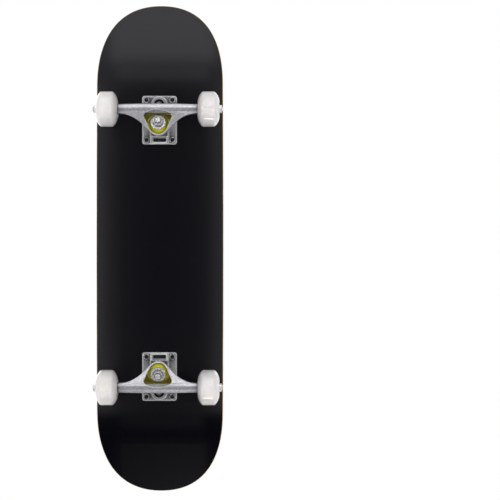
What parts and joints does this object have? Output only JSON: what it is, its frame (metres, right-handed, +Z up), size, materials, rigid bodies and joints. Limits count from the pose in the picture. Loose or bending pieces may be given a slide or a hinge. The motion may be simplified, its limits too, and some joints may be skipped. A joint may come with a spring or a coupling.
{
  "type": "skateboard",
  "caption": "Complete skateboard: kicked maple deck with grip tape on steering kingpin trucks, with urethane wheels rolling on shielded ball bearings.",
  "frame": {"origin": "on the floor under the middle of the deck, with the board standing on its wheels", "axes": "+X along the board towards the nose, +Y to the left across the board, +Z up"},
  "size_m": [0.7872, 0.2032, 0.1368],
  "materials": {
    "maple_ply": "satin black stain, bare maple edge",
    "grip_sheet": "gritty",
    "black_steel": "black oxide",
    "zinc_steel": "bright zinc",
    "nylon": "smooth",
    "cast_aluminium": "tumbled casting",
    "black_urethane": "smooth",
    "yellow_urethane": "smooth",
    "white_urethane": "matt",
    "bearing_steel": "ground",
    "shield_steel": "pressed"
  },
  "bodies": {
    "board": {"deck": "maple_ply", "grip_tape": "grip_sheet", "deck_bolts": "black_steel", "deck_nuts": "zinc_steel", "deck_nut_inserts": "nylon", "front_baseplate": "cast_aluminium", "front_pivot_cup": "black_urethane", "front_kingpin": "zinc_steel", "front_boardside_washer": "zinc_steel", "front_boardside_bushing": "yellow_urethane", "front_roadside_bushing": "yellow_urethane", "front_roadside_washer": "zinc_steel", "front_kingpin_nut": "zinc_steel", "front_kingpin_nut_insert": "nylon", "rear_baseplate": "cast_aluminium", "rear_pivot_cup": "black_urethane", "rear_kingpin": "zinc_steel", "rear_boardside_washer": "zinc_steel", "rear_boardside_bushing": "yellow_urethane", "rear_roadside_bushing": "yellow_urethane", "rear_roadside_washer": "zinc_steel", "rear_kingpin_nut": "zinc_steel", "rear_kingpin_nut_insert": "nylon"},
    "front_steering": {"front_hanger": "cast_aluminium", "front_axle": "zinc_steel", "front_speed_washers": "zinc_steel", "front_bearing_spacers": "zinc_steel", "front_bearing_inner_rings": "bearing_steel", "front_axle_nuts": "zinc_steel", "front_axle_nut_inserts": "nylon"},
    "front_left_rolling": {"front_left_wheel": "white_urethane", "front_left_bearing_outer_rings": "bearing_steel", "front_left_bearing_shields": "shield_steel"},
    "front_left_ball_ring": {"front_left_bearing_balls": "bearing_steel", "front_left_bearing_cages": "shield_steel"},
    "front_right_rolling": {"front_right_wheel": "white_urethane", "front_right_bearing_outer_rings": "bearing_steel", "front_right_bearing_shields": "shield_steel"},
    "front_right_ball_ring": {"front_right_bearing_balls": "bearing_steel", "front_right_bearing_cages": "shield_steel"},
    "rear_steering": {"rear_hanger": "cast_aluminium", "rear_axle": "zinc_steel", "rear_speed_washers": "zinc_steel", "rear_bearing_spacers": "zinc_steel", "rear_bearing_inner_rings": "bearing_steel", "rear_axle_nuts": "zinc_steel", "rear_axle_nut_inserts": "nylon"},
    "rear_left_rolling": {"rear_left_wheel": "white_urethane", "rear_left_bearing_outer_rings": "bearing_steel", "rear_left_bearing_shields": "shield_steel"},
    "rear_left_ball_ring": {"rear_left_bearing_balls": "bearing_steel", "rear_left_bearing_cages": "shield_steel"},
    "rear_right_rolling": {"rear_right_wheel": "white_urethane", "rear_right_bearing_outer_rings": "bearing_steel", "rear_right_bearing_shields": "shield_steel"},
    "rear_right_ball_ring": {"rear_right_bearing_balls": "bearing_steel", "rear_right_bearing_cages": "shield_steel"}
  },
  "joints": [
    {"name": "front_steer", "type": "hinge", "parent": "board", "child": "front_steering", "pos_m": [0.2301, 0, 0.069], "axis": [0.8972, 0, 0.4417], "range_deg": [-12, 12], "stiffness_Nm_per_rad": 40, "deforming": ["front_boardside_bushing", "front_roadside_bushing"]},
    {"name": "front_left_wheel_spin", "type": "hinge", "parent": "front_steering", "child": "front_left_rolling", "pos_m": [0.2173, 0.0793, 0.0275], "axis": [0, 1, 0], "continuous": true},
    {"name": "front_left_ball_orbit", "type": "hinge", "parent": "front_steering", "child": "front_left_ball_ring", "pos_m": [0.2173, 0.0793, 0.0275], "axis": [0, 1, 0], "continuous": true},
    {"name": "front_right_wheel_spin", "type": "hinge", "parent": "front_steering", "child": "front_right_rolling", "pos_m": [0.2173, -0.0793, 0.0275], "axis": [0, 1, 0], "continuous": true},
    {"name": "front_right_ball_orbit", "type": "hinge", "parent": "front_steering", "child": "front_right_ball_ring", "pos_m": [0.2173, -0.0793, 0.0275], "axis": [0, 1, 0], "continuous": true},
    {"name": "rear_steer", "type": "hinge", "parent": "board", "child": "rear_steering", "pos_m": [-0.2301, 0, 0.069], "axis": [-0.8972, 0, 0.4417], "range_deg": [-12, 12], "stiffness_Nm_per_rad": 40, "deforming": ["rear_boardside_bushing", "rear_roadside_bushing"]},
    {"name": "rear_left_wheel_spin", "type": "hinge", "parent": "rear_steering", "child": "rear_left_rolling", "pos_m": [-0.2173, 0.0793, 0.0275], "axis": [0, 1, 0], "continuous": true},
    {"name": "rear_left_ball_orbit", "type": "hinge", "parent": "rear_steering", "child": "rear_left_ball_ring", "pos_m": [-0.2173, 0.0793, 0.0275], "axis": [0, 1, 0], "continuous": true},
    {"name": "rear_right_wheel_spin", "type": "hinge", "parent": "rear_steering", "child": "rear_right_rolling", "pos_m": [-0.2173, -0.0793, 0.0275], "axis": [0, 1, 0], "continuous": true},
    {"name": "rear_right_ball_orbit", "type": "hinge", "parent": "rear_steering", "child": "rear_right_ball_ring", "pos_m": [-0.2173, -0.0793, 0.0275], "axis": [0, 1, 0], "continuous": true}
  ],
  "couplings": [
    {"joint": "front_left_ball_orbit", "follows": "front_left_wheel_spin", "ratio": 0.63233},
    {"joint": "front_right_ball_orbit", "follows": "front_right_wheel_spin", "ratio": 0.63233},
    {"joint": "rear_left_ball_orbit", "follows": "rear_left_wheel_spin", "ratio": 0.63233},
    {"joint": "rear_right_ball_orbit", "follows": "rear_right_wheel_spin", "ratio": 0.63233}
  ]
}
